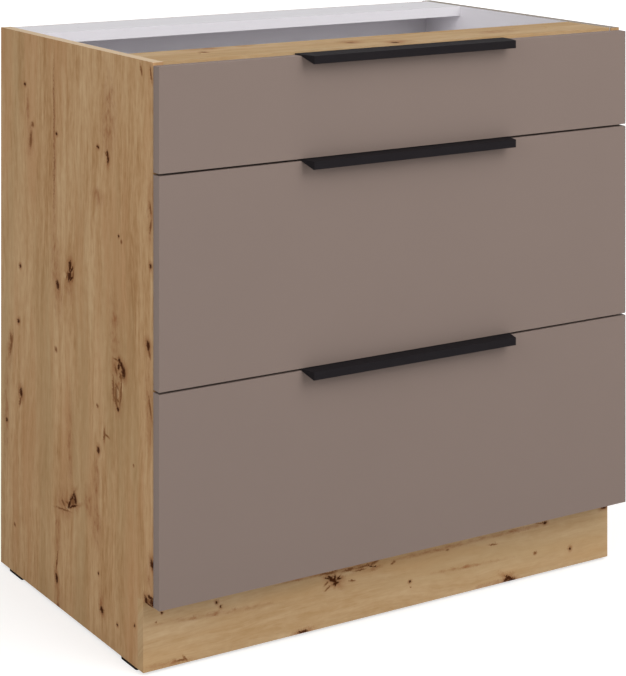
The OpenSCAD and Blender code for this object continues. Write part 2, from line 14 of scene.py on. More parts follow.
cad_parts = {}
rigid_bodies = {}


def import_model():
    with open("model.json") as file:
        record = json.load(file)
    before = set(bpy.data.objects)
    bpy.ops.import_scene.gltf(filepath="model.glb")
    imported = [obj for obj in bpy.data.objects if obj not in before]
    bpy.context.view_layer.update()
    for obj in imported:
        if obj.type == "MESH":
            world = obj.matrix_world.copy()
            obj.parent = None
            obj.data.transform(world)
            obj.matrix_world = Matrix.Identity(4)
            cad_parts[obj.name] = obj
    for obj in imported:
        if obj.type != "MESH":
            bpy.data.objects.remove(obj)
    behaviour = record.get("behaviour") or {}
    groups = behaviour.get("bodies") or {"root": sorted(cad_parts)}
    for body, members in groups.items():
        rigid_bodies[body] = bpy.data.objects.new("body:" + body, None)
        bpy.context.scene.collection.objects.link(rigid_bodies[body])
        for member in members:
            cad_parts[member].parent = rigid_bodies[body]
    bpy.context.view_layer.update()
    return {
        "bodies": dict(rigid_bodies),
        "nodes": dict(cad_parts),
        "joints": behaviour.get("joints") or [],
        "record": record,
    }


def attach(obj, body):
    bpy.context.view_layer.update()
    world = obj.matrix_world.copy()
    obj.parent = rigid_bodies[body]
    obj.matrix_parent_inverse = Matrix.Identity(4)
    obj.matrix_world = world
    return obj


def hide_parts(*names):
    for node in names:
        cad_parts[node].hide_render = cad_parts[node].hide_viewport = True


log = logging.getLogger("cabinet")

Number = float | int
Point = tuple[float, float, float]
MM = 0.001
# How deep a face's finish reaches into its board
SKIN = 0.2 * MM
WHITE: Point = (1.0, 1.0, 1.0)
UP = Vector((0.0, 0.0, 1.0))


def paint(red: int, green: int, blue: int) -> Point:
    """Turn a colour as a screen shows it, 0 to 255, into the linear values that shaders take."""
    shares = (part / 255 for part in (red, green, blue))
    return tuple(share / 12.92 if share <= 0.04045 else ((share + 0.055) / 1.055) ** 2.4 for share in shares)


def shaded(colour: Point, share: float) -> Point:
    """Return a colour made darker or lighter by a share."""
    return tuple(min(1.0, share * part) for part in colour)


def tones(colour: Point, contrast: float) -> tuple[Point, Point]:
    """Return a darker and a lighter tone of a colour."""
    return shaded(colour, 1 - contrast), shaded(colour, 1 + contrast)


class Wire:
    """A value, colour or vector in a material, with the sums that can be done on a value."""

    def __init__(self, graph: "Graph", socket: bpy.types.NodeSocket) -> None:
        """Wrap an output socket of a node in a graph."""
        self.graph = graph
        self.socket = socket

    def _sum(self, operation: str, *terms: "Number | Wire") -> "Wire":
        """Add one Math node.

        Args:
            operation: The Math node's operation.
            terms: Its inputs, in order.

        Returns:
            The node's value.
        """
        return self.graph.node("ShaderNodeMath", {"operation": operation}, dict(enumerate(terms)))

    def __add__(self, other: "Number | Wire") -> "Wire":
        """Return self + other."""
        return self._sum("ADD", self, other)

    __radd__ = __add__

    def __sub__(self, other: "Number | Wire") -> "Wire":
        """Return self - other."""
        return self._sum("SUBTRACT", self, other)

    def __rsub__(self, other: "Number | Wire") -> "Wire":
        """Return other - self."""
        return self._sum("SUBTRACT", other, self)

    def __mul__(self, other: "Number | Wire") -> "Wire":
        """Return self * other."""
        return self._sum("MULTIPLY", self, other)

    __rmul__ = __mul__

    def __gt__(self, other: "Number | Wire") -> "Wire":
        """Return 1 where self is more than other, and 0 elsewhere."""
        return self._sum("GREATER_THAN", self, other)

    def __lt__(self, other: "Number | Wire") -> "Wire":
        """Return 1 where self is less than other, and 0 elsewhere."""
        return self._sum("LESS_THAN", self, other)

    def least(self, other: "Number | Wire") -> "Wire":
        """Return the smaller of the two."""
        return self._sum("MINIMUM", self, other)

    def most(self, other: "Number | Wire") -> "Wire":
        """Return the larger of the two."""
        return self._sum("MAXIMUM", self, other)

    def root(self) -> "Wire":
        """Return the square root."""
        return self._sum("SQRT", self)

    def fade(self, start: float, end: float) -> "Wire":
        """Return 0 at start and 1 at end, with a smooth change between."""
        return self.graph.node("ShaderNodeMapRange", {"interpolation_type": "SMOOTHSTEP"}, {
            "Value": self, "From Min": start, "From Max": end, "To Min": 0.0, "To Max": 1.0})


@dataclass
class Look:
    """What a finish shows at each point of a surface."""

    colour: Wire
    rough: Wire
    relief: Wire


class Graph:
    """The node tree of one material or of the world, and its maker."""

    def __init__(self, holder: "bpy.types.Material | bpy.types.World") -> None:
        """Empty a node tree.

        Args:
            holder: The material or world that holds it.
        """
        holder.use_nodes = True
        self.holder = holder
        self.tree = holder.node_tree
        self.tree.nodes.clear()

    def add(self, kind: str, settings: dict[str, Any] | None = None,
            inputs: dict[str | int, Any] | None = None) -> bpy.types.Node:
        """Add any node with its settings, then its sockets' values or links.

        Args:
            kind: The node's type.
            settings: Properties set before the sockets. stops are a ramp's places and colours.
            inputs: Values or wires by the sockets' names or numbers.

        Returns:
            The node.
        """
        made = self.tree.nodes.new(kind)
        for name, value in (settings or {}).items():
            if name == "stops":
                ramp = made.color_ramp
                while len(ramp.elements) < len(value):
                    ramp.elements.new(0.5)
                for element, (place, colour) in zip(ramp.elements, value):
                    element.position = place
                    element.color = (*colour, 1.0)
            else:
                setattr(made, name, value)
        for name, value in (inputs or {}).items():
            if isinstance(value, Wire):
                self.tree.links.new(value.socket, made.inputs[name])
            else:
                made.inputs[name].default_value = value
        return made

    def node(self, kind: str, settings: dict[str, Any] | None = None,
             inputs: dict[str | int, Any] | None = None, output: str | int = 0) -> Wire:
        """Add a node as add does and return one of its outputs."""
        return Wire(self, self.add(kind, settings, inputs).outputs[output])

    def place(self) -> Wire:
        """Return the point on the piece, in metres."""
        return self.node("ShaderNodeTexCoord", output="Object")

    def split(self, vector: Wire) -> tuple[Wire, Wire, Wire]:
        """Return the three parts of a vector."""
        x, y, z = (Wire(self, out) for out in self.add("ShaderNodeSeparateXYZ", inputs={0: vector}).outputs)
        return x, y, z

    def join(self, x: "Wire | Number", y: "Wire | Number", z: "Wire | Number" = 0.0) -> Wire:
        """Return a vector of three parts."""
        return self.node("ShaderNodeCombineXYZ", inputs={0: x, 1: y, 2: z})

    def stretch(self, vector: Wire, scale: "Point | float", shift: Point = (0.0, 0.0, 0.0)) -> Wire:
        """Return vector * scale + shift. One scale serves all three axes."""
        steps = scale if isinstance(scale, tuple) else (scale,) * 3
        return self.node("ShaderNodeVectorMath", {"operation": "MULTIPLY_ADD"}, {0: vector, 1: steps, 2: shift})

    def noise(self, vector: Wire, scale: "Point | float", detail: float = 2.0, rough: float = 0.5,
              shift: Point = (0.0, 0.0, 0.0)) -> Wire:
        """Return smooth noise round 0.5 at vector * scale + shift."""
        return self.node("ShaderNodeTexNoise", inputs={
            "Vector": self.stretch(vector, scale, shift), "Scale": 1.0, "Detail": detail, "Roughness": rough})

    def mix(self, share: "Wire | Number", first: "Wire | Point", second: "Wire | Point") -> Wire:
        """Return the colour between first and second."""
        ends = [colour if isinstance(colour, Wire) else (*colour, 1.0) for colour in (first, second)]
        return self.node("ShaderNodeMix", {"data_type": "RGBA"}, {0: share, 6: ends[0], 7: ends[1]}, 2)

    def blend(self, share: Wire, first: Wire, second: Wire) -> Wire:
        """Return the value between first and second."""
        return self.node("ShaderNodeMix", {"data_type": "FLOAT"}, {0: share, 2: first, 3: second})

    def over(self, mask: Wire, below: Look, above: Look) -> Look:
        """Lay one finish over another.

        Args:
            mask: 1 where the upper finish shows, and 0 elsewhere.
            below: The lower finish.
            above: The upper finish.

        Returns:
            What shows of both.
        """
        return Look(self.mix(mask, below.colour, above.colour),
                    self.blend(mask, below.rough, above.rough),
                    self.blend(mask, below.relief, above.relief))

    def seen(self) -> Wire:
        """Tell rays that see from rays that only carry light.

        Returns:
            1 for rays from the camera, a reflection or clear glass, and 0 for the others.
        """
        rays = self.add("ShaderNodeLightPath").outputs
        camera, glossy, clear = (Wire(self, rays[f"Is {kind} Ray"]) for kind in ("Camera", "Glossy", "Transmission"))
        return camera.most(glossy).most(clear)

    def done(self, look: Look, depth: float, gloss: float, metallic: float) -> bpy.types.Material:
        """Wire a look to a Principled shader and to the material's output.

        Args:
            look: The finish.
            depth: Height of its relief in metres.
            gloss: The shader's specular level.
            metallic: The shader's share of metal.

        Returns:
            The finished material.
        """
        normal = self.node("ShaderNodeBump", inputs={"Strength": 1.0, "Distance": depth, "Height": look.relief})
        shader = self.node("ShaderNodeBsdfPrincipled", inputs={
            "Base Color": look.colour, "Roughness": look.rough, "Normal": normal, "Specular IOR Level": gloss,
            "Metallic": metallic})
        self.add("ShaderNodeOutputMaterial", inputs={"Surface": shader})
        return self.holder


def blank(name: str) -> Graph:
    """Start a material."""
    return Graph(bpy.data.materials.new(name))


@dataclass(frozen=True)
class Face:
    """The plane that shows a board's oak: the axis square to it, its level, and the axes across and along the grain."""

    axis: int
    level: float
    across: int
    along: int


class Board(Enum):
    """The oak boards."""

    LEFT = Face(0, -0.4, 1, 2)
    RIGHT = Face(0, 0.4, 1, 2)
    PLINTH = Face(1, -0.2035, 2, 0)
    RAIL = Face(2, 0.82, 1, 0)


class Mark(Enum):
    """The kinds of marks in oak."""

    KNOT = "dark core of a knot"
    BARK = "thin brown line or pin knot"
    # Soft brown smears in the oak, and painted shade on the plinth under the fronts' lower edge.
    SMEAR = "soft brown smear"
    PALE = "pale wood inside a swirl"


@dataclass(frozen=True)
class Spot:
    """One mark in the oak: its middle and half sizes in millimetres, across and along the grain, and its lean."""

    mark: Mark
    across: float
    along: float
    wide: float
    long: float
    lean: float = 0.0

    def rows(self) -> tuple[Point, Point]:
        """Work out the mark's own axes.

        Returns:
            Two rows. Their dot products with a place (across, along, 1) in metres give the place in half sizes.
        """
        cos, sin = math.cos(self.lean), math.sin(self.lean)
        return tuple((a / size / MM, b / size / MM, -(a * self.across + b * self.along) / size)
                     for a, b, size in ((cos, sin, self.wide), (-sin, cos, self.long)))


@dataclass(frozen=True)
class Wood:
    """The colours of an oak decor."""

    dark: Point
    middle: Point
    light: Point
    warm: Point
    grey: Point
    brown: Point = paint(150, 100, 63)
    bark: Point = paint(104, 62, 28)
    knot: Point = paint(62, 27, 6)


class Finish:
    """A finish: what each point of its surface shows, how deep its relief is, and how it shines."""

    depth: float = 0.03 * MM
    gloss: float = 0.15
    metallic: float = 0.0

    def look(self, g: Graph) -> Look:
        """Build what the surface shows, which each kind of finish does in its own way.

        Args:
            g: The material that it goes into.

        Returns:
            Its colour, roughness and relief.
        """
        raise NotImplementedError

    def material(self, name: str) -> bpy.types.Material:
        """Make a material of the finish."""
        g = blank(name)
        return g.done(self.look(g), self.depth, self.gloss, self.metallic)


@dataclass(frozen=True)
class Oak(Finish):
    """Knotty oak foil."""

    board: Board
    wood: Wood
    spots: tuple[Spot, ...]
    seed: float
    depth: float = 0.12 * MM
    gloss: float = 0.03
    far: float = 50.0

    def _away(self, g: Graph, sheet: Wire, mark: Mark) -> Wire:
        """Measure how far the nearest mark of a kind is.

        Args:
            g: The material.
            sheet: The place across and along the grain, with 1 as its third part.
            mark: The kind of mark.

        Returns:
            The distance, in the mark's own half sizes.
        """
        nearest: Wire | None = None
        for spot in (s for s in self.spots if s.mark is mark):
            u, v = (g.node("ShaderNodeVectorMath", {"operation": "DOT_PRODUCT"}, {0: sheet, 1: row}, 1)
                    for row in spot.rows())
            away = u * u + v * v
            nearest = away if nearest is None else nearest.least(away)
        return nearest.root() if nearest else g.node("ShaderNodeValue") + self.far

    def look(self, g: Graph) -> Look:
        """Build the oak.

        Args:
            g: The material that it goes into.

        Returns:
            Its colour, roughness and relief.
        """
        parts, face, wood = g.split(g.place()), self.board.value, self.wood
        across, along = parts[face.across] + parts[face.axis] - face.level, parts[face.along]
        flat = g.join(across, along)

        # The marks, with ragged edges
        ragged = g.noise(flat, (150.0, 80.0, 1.0), 3.0, 0.6)
        crackle = g.noise(flat, (360.0, 360.0, 1.0), 3.0, 0.6)
        sheet = g.join(across + (ragged - 0.5) * 0.005 + (crackle - 0.5) * 0.006, along + (ragged - 0.5) * 0.004, 1.0)
        knots, barks, smears_and_shade, pales = (self._away(g, sheet, mark) for mark in Mark)

        # The grain, which bends round the knots
        drift = g.noise(flat, (5.0, 1.6, 0.0), shift=(0.0, 0.0, self.seed))
        sway = g.noise(flat, (26.0, 8.0, 0.0), shift=(0.0, 0.0, self.seed))
        swirl = (1.0 - knots.fade(0.8, 5.0)) * 0.010
        bent = across + (drift - 0.5) * 0.05 + (sway - 0.5) * 0.018 + (ragged - 0.5) * swirl
        lines = g.join(bent, along, self.seed)
        bands = g.noise(lines, (15.0, 1.5, 1.0), 3.0)
        stripes = g.noise(lines, (80.0, 7.0, 1.0), 4.0, 0.6)
        fibres = g.noise(lines, (330.0, 36.0, 1.0), 3.0, 0.6)
        mottle = g.noise(lines, (120.0, 60.0, 1.0), 3.0, 0.6)
        pores = g.noise(lines, (1500.0, 70.0, 1.0), 1.0).fade(0.62, 0.74)
        tone = bands + stripes * 1.25 + fibres * 0.75 + mottle * 0.5 - 1.25 - pores * 0.1

        # The wood's own colour, warmer and greyer in places
        stops = (0.1, wood.dark), (0.5, wood.middle), (0.85, wood.light)
        colour = g.node("ShaderNodeValToRGB", {"stops": stops}, {0: tone})
        blush = g.noise(lines, (22.0, 3.0, 1.0), 3.0).fade(0.48, 0.7)
        cool = g.noise(lines, (16.0, 2.0, 1.0), 3.0, shift=(3.7, 1.9, 0.0)).fade(0.48, 0.7)
        colour = g.mix(blush * 0.5, colour, wood.warm)
        colour = g.mix(cool * 0.5, colour, wood.grey)

        # The marks' colours: smears and halos, then pale wood, bark and knots. The smears include painted shade, on the
        # plinth along the fronts' lower edge
        smear_and_shade = (1.0 - (smears_and_shade + (ragged - 0.5) * 1.6).fade(0.1, 1.7)) * (0.5 + (mottle - 0.5) * 2.6).most(0.2)
        core = knots.least(barks * 1.4)
        halo = (1.0 - (core + (crackle - 0.5) * 3.0).fade(0.8, 3.4)) * (0.2 + crackle)
        colour = g.mix(smear_and_shade.most(halo), colour, wood.brown)
        colour = g.mix((1.0 - pales.fade(0.4, 1.2)) * 0.7, colour, wood.light)
        bark = (1.0 - (barks + (crackle - 0.5) * 2.6).fade(0.4, 1.7)) * 0.7
        dark = (1.0 - (knots + (crackle - 0.5) * 2.2).fade(0.6, 1.45)) * 0.97
        colour = g.mix(dark, g.mix(bark, colour, wood.bark), wood.knot)
        return Look(colour, 0.72 - tone * 0.1 + dark * 0.1, g.noise(flat, (900.0, 30.0, 1.0), 3.0, 0.6))


@dataclass(frozen=True)
class WhiteFoil(Finish):
    """White melamine foil with a fine pearl grain."""

    shade: Point = paint(227, 224, 228)

    def look(self, g: Graph) -> Look:
        """Build the foil.

        Args:
            g: The material that it goes into.

        Returns:
            Its colour, roughness and relief.
        """
        place = g.place()
        pearl = g.noise(place, 900.0)
        cloud = g.noise(place, 7.0, 3.0)
        colour = g.mix((cloud - 0.2) * 0.5 + pearl * 0.3, self.shade, shaded(self.shade, 0.94))
        return Look(colour, 0.42 + pearl * 0.16, pearl)


@dataclass(frozen=True)
class Chipboard(Finish):
    """The raw core of a board: pressed chips in several browns."""

    light: Point = paint(205, 176, 134)
    dark: Point = paint(150, 113, 74)

    def look(self, g: Graph) -> Look:
        """Build the chipboard.

        Args:
            g: The material that it goes into.

        Returns:
            Its colour, roughness and relief.
        """
        place = g.place()
        chips = g.node("ShaderNodeTexVoronoi", {"feature": "F1"}, {
            "Vector": g.stretch(place, 420.0), "Scale": 1.0, "Randomness": 1.0}, "Color")
        shade = g.split(chips)[0]
        dust = g.noise(place, 1300.0, 3.0, 0.6)
        tone = (shade * 0.7 + dust * 0.4).fade(0.15, 0.95)
        return Look(g.mix(tone, self.light, self.dark), 0.75 + dust * 0.15, dust + shade * 0.5)


@dataclass(frozen=True)
class EdgeBand(Finish):
    """The thin band on a board's top edge, with faint lines along it."""

    shade: Point

    def look(self, g: Graph) -> Look:
        """Build the band."""
        lines = g.noise(g.place(), (700.0, 9.0, 9.0), 3.0)
        return Look(g.mix(lines, self.shade, shaded(self.shade, 0.8)), 0.5 + lines * 0.2, lines)


@dataclass(frozen=True)
class SideBoard(Finish):
    """A side panel: oak outside and in front, white inside, a band on top and a raw core behind and below."""

    oak: Oak
    outwards: int
    band: EdgeBand
    # The inside foil is painted paler than the other white boards' foil, as painted light that makes up for light the
    # panels' inner faces lack.
    foil: Point = paint(240, 237, 241)
    inner_x: float = 0.384
    outer_x: float = 0.4
    front_y: float = -0.2305
    top_z: float = 0.82
    lipping: float = 2.0 * MM
    depth: float = 0.12 * MM
    gloss: float = 0.03

    def look(self, g: Graph) -> Look:
        """Build the side panel's finishes and lay them over each other.

        Args:
            g: The material that they go into.

        Returns:
            Their colour, roughness and relief.
        """
        x, y, z = g.split(g.place())
        out = x * self.outwards
        look = self.oak.look(g)
        core = (out < self.outer_x - SKIN) * (out > self.inner_x + SKIN) * (y > self.front_y + SKIN)
        look = g.over(core, look, Chipboard().look(g))
        look = g.over((z > self.top_z - SKIN) * (out < self.outer_x - SKIN), look, self.band.look(g))
        inside = (out < self.inner_x + SKIN) * (y > self.front_y + self.lipping)
        return g.over(inside, look, WhiteFoil(self.foil).look(g))


@dataclass(frozen=True)
class Lacquer(Finish):
    """Matt taupe lacquer over the fronts' faces and edges, with a white foil behind."""

    shade: Point = paint(132, 116, 108)
    contrast: float = 0.05
    back_y: float = -0.231

    def look(self, g: Graph) -> Look:
        """Build the lacquer and the foil.

        Args:
            g: The material that they go into.

        Returns:
            Their colour, roughness and relief.
        """
        place = g.place()
        y = g.split(place)[1]
        peel = g.noise(place, 420.0, 1.0)
        cloud = g.noise(place, 4.0, 4.0, 0.6)
        grit = g.noise(place, 2600.0, 1.0)
        colour = g.mix(cloud * 0.7 + grit * 0.3, *tones(self.shade, self.contrast))
        look = Look(colour, 0.46 + cloud * 0.12 + grit * 0.06, peel * 0.7 + grit * 0.3)
        return g.over(y > self.back_y - SKIN, look, WhiteFoil().look(g))


@dataclass(frozen=True)
class Hardboard(Finish):
    """The back panel: white foil inside, raw brown fibre behind."""

    inside_y: float = 0.2575
    light: Point = paint(190, 158, 122)
    dark: Point = paint(158, 124, 90)
    depth: float = 0.05 * MM

    def look(self, g: Graph) -> Look:
        """Build the fibre and the foil.

        Args:
            g: The material that they go into.

        Returns:
            Their colour, roughness and relief.
        """
        place = g.place()
        y = g.split(place)[1]
        fibre = g.noise(place, (260.0, 260.0, 520.0), 5.0, 0.7)
        cloud = g.noise(place, 6.0, 3.0)
        raw = Look(g.mix(fibre * 0.75 + cloud * 0.25, self.dark, self.light), 0.72 + fibre * 0.15, fibre)
        return g.over(y < self.inside_y + SKIN, raw, WhiteFoil().look(g))


@dataclass(frozen=True)
class Metal(Finish):
    """Bare, plated or anodised metal. Its brush lines run where brushed is small."""

    shade: Point
    brushed: Point
    rough: float
    metallic: float = 1.0
    depth: float = 0.01 * MM
    contrast: float = 0.12
    gloss: float = 0.5

    def look(self, g: Graph) -> Look:
        """Build the metal.

        Args:
            g: The material that it goes into.

        Returns:
            Its colour, roughness and relief.
        """
        place = g.place()
        lines = g.noise(place, self.brushed, 3.0, 0.6)
        cloud = g.noise(place, 45.0, 3.0)
        colour = g.mix(lines * 0.6 + cloud * 0.4, *tones(self.shade, self.contrast))
        return Look(colour, self.rough + (lines - 0.5) * 0.2 + (cloud - 0.5) * 0.1, lines)


@dataclass(frozen=True)
class Moulded(Finish):
    """Paint or plastic with a fine relief. A larger grain is finer."""

    shade: Point
    rough: float
    grain: float
    depth: float = 0.02 * MM
    contrast: float = 0.06
    gloss: float = 0.15

    def look(self, g: Graph) -> Look:
        """Build the paint or plastic.

        Args:
            g: The material that it goes into.

        Returns:
            Its colour, roughness and relief.
        """
        place = g.place()
        fine = g.noise(place, self.grain)
        cloud = g.noise(place, 25.0, 3.0)
        colour = g.mix(fine * 0.5 + cloud * 0.5, *tones(self.shade, self.contrast))
        return Look(colour, self.rough + (fine - 0.5) * 0.15, fine)


@dataclass(frozen=True)
class Beech(Finish):
    """Raw beech of the dowels, with its short dark flecks."""

    light: Point = paint(214, 178, 132)
    dark: Point = paint(176, 134, 88)
    depth: float = 0.05 * MM

    def look(self, g: Graph) -> Look:
        """Build the beech.

        Args:
            g: The material that it goes into.

        Returns:
            Its colour, roughness and relief.
        """
        place = g.place()
        flecks = g.noise(place, (160.0, 1400.0, 1400.0))
        rings = g.noise(place, (12.0, 260.0, 260.0), 3.0)
        colour = g.mix(flecks.fade(0.45, 0.8) * 0.6 + rings * 0.4, self.light, self.dark)
        return Look(colour, 0.6 + rings * 0.1, flecks)


@dataclass
class Bench:
    """Hand work on meshes with Blender's own tools.

    weld joins corners, flat joins faces, smooth is the largest angle shaded round, and facing is how well a face
    must look along a direction to count, as a cosine. taper is how much narrower a recess is at its bottom.
    """

    frame: dict[str, Any]
    weld: float = 0.002 * MM
    flat: float = math.radians(0.3)
    smooth: float = math.radians(35.0)
    facing: float = 0.9
    taper: float = 0.6

    @staticmethod
    def pick(*objects: bpy.types.Object) -> None:
        """Select only these objects.

        Args:
            objects: The objects. The first becomes the active one.
        """
        bpy.ops.object.select_all(action="DESELECT")
        for obj in objects:
            obj.select_set(True)
        bpy.context.view_layer.objects.active = objects[0]

    @staticmethod
    def fresh(primitive: Callable[..., Any], **settings: Any) -> bpy.types.Object:
        """Add one primitive with nothing else selected.

        Args:
            primitive: The operator that adds it.
            settings: The operator's settings.

        Returns:
            The new object, its place in its mesh.
        """
        bpy.ops.object.select_all(action="DESELECT")
        primitive(**settings)
        bpy.ops.object.transform_apply(location=True, rotation=True, scale=True)
        return bpy.context.active_object

    def rod(self, radius: float, bottom: float, top: float, sides: int) -> bpy.types.Object:
        """Add an upright round blank on the Z axis, from bottom to top."""
        return self.fresh(bpy.ops.mesh.primitive_cylinder_add, vertices=sides, radius=radius, depth=top - bottom,
                          location=UP * (top + bottom) / 2)

    @staticmethod
    def unselect(mesh: bpy.types.Mesh) -> None:
        """Deselect a mesh's corners, edges and faces, in object mode."""
        for part in (mesh.vertices, mesh.edges, mesh.polygons):
            part.foreach_set("select", [False] * len(part))

    def select_edges(self, piece: bpy.types.Object, wanted: Callable[[Vector, Vector], bool]) -> None:
        """Select only some edges, in object mode.

        Args:
            piece: The piece.
            wanted: A test of an edge's two ends.
        """
        mesh = piece.data
        self.unselect(mesh)
        for edge in mesh.edges:
            edge.select = wanted(*(mesh.vertices[i].co for i in edge.vertices))

    def select_faces(self, piece: bpy.types.Object, way: Vector) -> None:
        """Select only the faces that look along a direction, in object mode.

        Args:
            piece: The piece.
            way: The direction.
        """
        self.unselect(piece.data)
        for face in piece.data.polygons:
            face.select = face.normal.dot(way) > self.facing

    def apply(self, piece: bpy.types.Object, kind: str, **settings: Any) -> None:
        """Put a modifier on a piece and apply it.

        Args:
            piece: The piece.
            kind: The modifier's type.
            settings: Its settings.
        """
        self.pick(piece)
        modifier = piece.modifiers.new(kind.lower(), kind)
        for name, value in settings.items():
            setattr(modifier, name, value)
        bpy.ops.object.modifier_apply(modifier=modifier.name)

    def cut(self, piece: bpy.types.Object, cutter: bpy.types.Object) -> None:
        """Take a cutter's shape out of a piece and remove the cutter."""
        self.apply(piece, "BOOLEAN", operation="DIFFERENCE", solver="EXACT", object=cutter)
        bpy.data.objects.remove(cutter)

    def recess(self, piece: bpy.types.Object, top: float, arm: float, slot: float, sink: float) -> None:
        """Cut a cross for a driver into a piece's top.

        Args:
            piece: The piece, upright on the Z axis.
            top: Height of the face that is cut.
            arm: Length of the cross.
            slot: Width of its arms at the top.
            sink: Its depth.
        """
        for turn in (0.0, math.pi / 2):
            cutter = self.fresh(bpy.ops.mesh.primitive_cube_add, size=1.0, location=UP * top,
                                scale=(arm, slot, 2 * sink), rotation=(0.0, 0.0, turn))
            self.select_faces(cutter, -UP)
            bpy.ops.object.mode_set(mode="EDIT")
            bpy.ops.transform.resize(value=(self.taper, self.taper, 1.0))
            bpy.ops.object.mode_set(mode="OBJECT")
            self.cut(piece, cutter)

    def islands(self, node: str) -> list[tuple[list[Vector], Vector, Vector]]:
        """Part a CAD node into its separate solids.

        Args:
            node: The CAD node.

        Returns:
            For each solid, its corners and the two ends of its box.
        """
        piece = self.copy(node, f"{node}_islands")
        mesh = piece.data
        home = list(range(len(mesh.vertices)))

        def first(i: int) -> int:
            """Trace a corner back to the first one of its solid.

            Args:
                i: The corner.

            Returns:
                The first one, as far as it is known.
            """
            while home[i] != i:
                i = home[i]
            return i
        for edge in mesh.edges:
            a, b = (first(i) for i in edge.vertices)
            home[max(a, b)] = min(a, b)
        solids: dict[int, list[Vector]] = {}
        for vertex in mesh.vertices:
            solids.setdefault(first(vertex.index), []).append(vertex.co.copy())
        bpy.data.objects.remove(piece)
        return [(corners, *(Vector(end(c[i] for c in corners) for i in range(3)) for end in (min, max)))
                for corners in solids.values()]

    def spread(self, model: bpy.types.Object, name: str, seats: list[tuple[Vector, Vector]]) -> bpy.types.Object:
        """Copy a model to several seats and join the copies.

        Args:
            model: The piece to copy, standing on the origin with its head up.
            name: Name of the joined piece.
            seats: For each copy, its foot and the way up.

        Returns:
            The joined piece.
        """
        copies = []
        for foot, up in seats:
            copy = bpy.data.objects.new(name, model.data.copy())
            bpy.context.scene.collection.objects.link(copy)
            copy.data.transform(Matrix.Translation(foot) @ up.to_track_quat("Z", "Y").to_matrix().to_4x4())
            copies.append(copy)
        self.pick(*copies)
        bpy.ops.object.join()
        copies[0].name = name
        self.shade(copies[0])
        return copies[0]

    def copy(self, node: str, name: str) -> bpy.types.Object:
        """Copy a CAD node's mesh into a new piece with joined, tidy faces.

        Args:
            node: The CAD node.
            name: The new piece's name.

        Returns:
            The new piece, at the node's place.
        """
        mesh = self.frame["nodes"][node].data.copy()
        mesh.name = name
        mesh.materials.clear()
        piece = bpy.data.objects.new(name, mesh)
        bpy.context.scene.collection.objects.link(piece)
        self.pick(piece)
        bpy.ops.mesh.customdata_custom_splitnormals_clear()
        bpy.ops.object.mode_set(mode="EDIT")
        bpy.ops.mesh.select_mode(type="VERT")
        bpy.ops.mesh.select_all(action="SELECT")
        bpy.ops.mesh.remove_doubles(threshold=self.weld)
        bpy.ops.mesh.dissolve_limited(angle_limit=self.flat)
        bpy.ops.object.mode_set(mode="OBJECT")
        return piece

    def round_edges(self, piece: bpy.types.Object, wanted: Callable[[Vector, Vector], bool],
                    width: float, segments: int = 2) -> None:
        """Bevel chosen edges in edit mode and shade the result.

        Args:
            piece: The piece.
            wanted: A test of an edge's two ends.
            width: Width of the bevel.
            segments: How many steps it has.
        """
        self.pick(piece)
        self.select_edges(piece, wanted)
        bpy.ops.object.mode_set(mode="EDIT")
        bpy.ops.mesh.select_mode(type="EDGE")
        bpy.ops.mesh.bevel(offset=width, segments=segments, affect="EDGES", clamp_overlap=True)
        bpy.ops.object.mode_set(mode="OBJECT")
        self.shade(piece)

    def soften(self, piece: bpy.types.Object, width: float, angle: float) -> None:
        """Bevel all sharp edges and shade the result.

        Args:
            piece: The piece.
            width: Width of the bevel.
            angle: The least angle of an edge that is sharp, in degrees.
        """
        self.apply(piece, "BEVEL", width=width, segments=2, limit_method="ANGLE", angle_limit=math.radians(angle),
                   use_clamp_overlap=True)
        self.shade(piece)

    def shade(self, piece: bpy.types.Object) -> None:
        """Shade a piece smooth across its small angles, with its large faces kept flat.

        Args:
            piece: The piece.
        """
        self.pick(piece)
        bpy.ops.object.shade_smooth_by_angle(angle=self.smooth)
        self.apply(piece, "WEIGHTED_NORMAL", keep_sharp=True)

    def stand_in(self, piece: bpy.types.Object, node: str, finish: bpy.types.Material) -> None:
        """Let a piece stand for a CAD node.

        Args:
            piece: The piece.
            node: The node whose place and motion it takes.
            finish: Its material.
        """
        record = self.frame["record"]
        slot = next(s["material_slot"] for s in record["subparts"] if s["node"] == node)
        body = next(b for b, nodes in record["behaviour"]["bodies"].items() if node in nodes)
        piece.data.materials.append(finish)
        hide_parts(node)
        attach(piece, body)
        log.info("%s stands for %s on %s", piece.name, node, body)


class Level(Enum):
    """The three drawers."""

    TOP = "top"
    MIDDLE = "middle"
    BOTTOM = "bottom"


def longer_than(least: float) -> Callable[[Vector, Vector], bool]:
    """Return a test for edges longer than a length in metres."""
    return lambda a, b: (a - b).length > least


